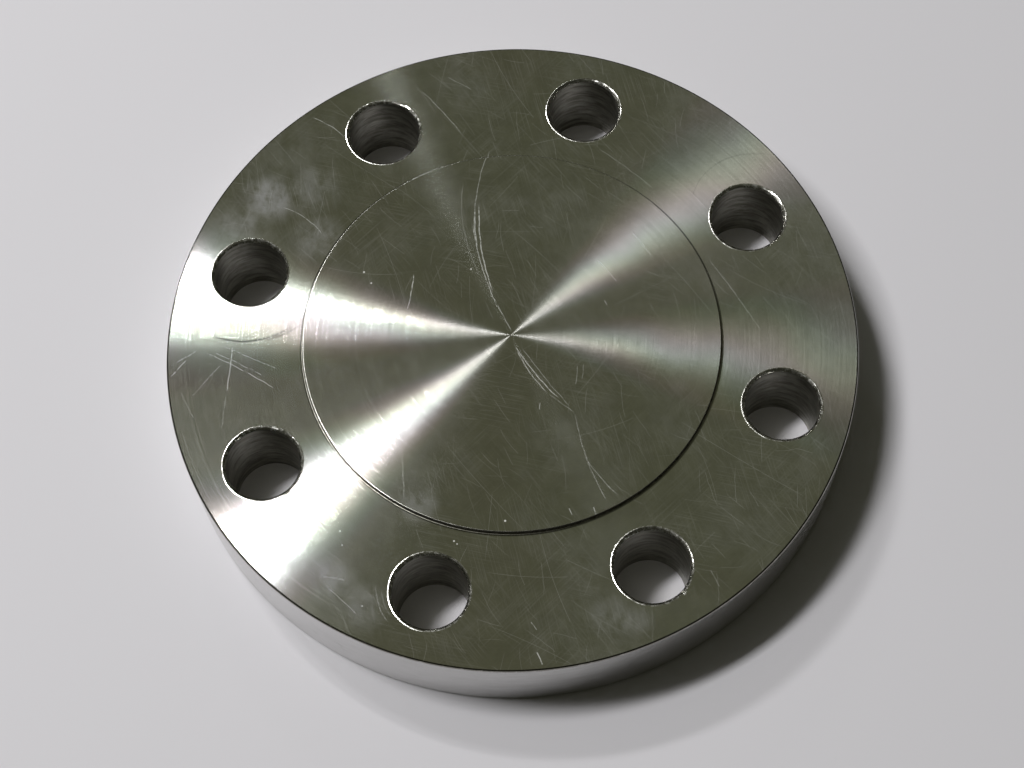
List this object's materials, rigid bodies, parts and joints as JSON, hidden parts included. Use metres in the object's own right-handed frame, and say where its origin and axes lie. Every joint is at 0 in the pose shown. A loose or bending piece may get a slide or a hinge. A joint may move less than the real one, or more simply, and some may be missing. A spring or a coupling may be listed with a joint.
{
  "type": "blind flange",
  "caption": "Round solid steel blind flange with a raised sealing face and a ring of bolt holes; bolts over the end of a flanged pipe or nozzle to close it off.",
  "frame": {"origin": "centre of the back face, on the flange axis", "axes": "+Z along the flange axis, out of the raised face; the bolt holes straddle +X and +Y"},
  "size_m": [0.21, 0.21, 0.0286],
  "materials": {
    "turned_stainless": "fine lathe-turned on the faces and the rim, satin where it was drilled"
  },
  "bodies": {
    "root": {"blind_flange": "turned_stainless"}
  },
  "joints": []
}
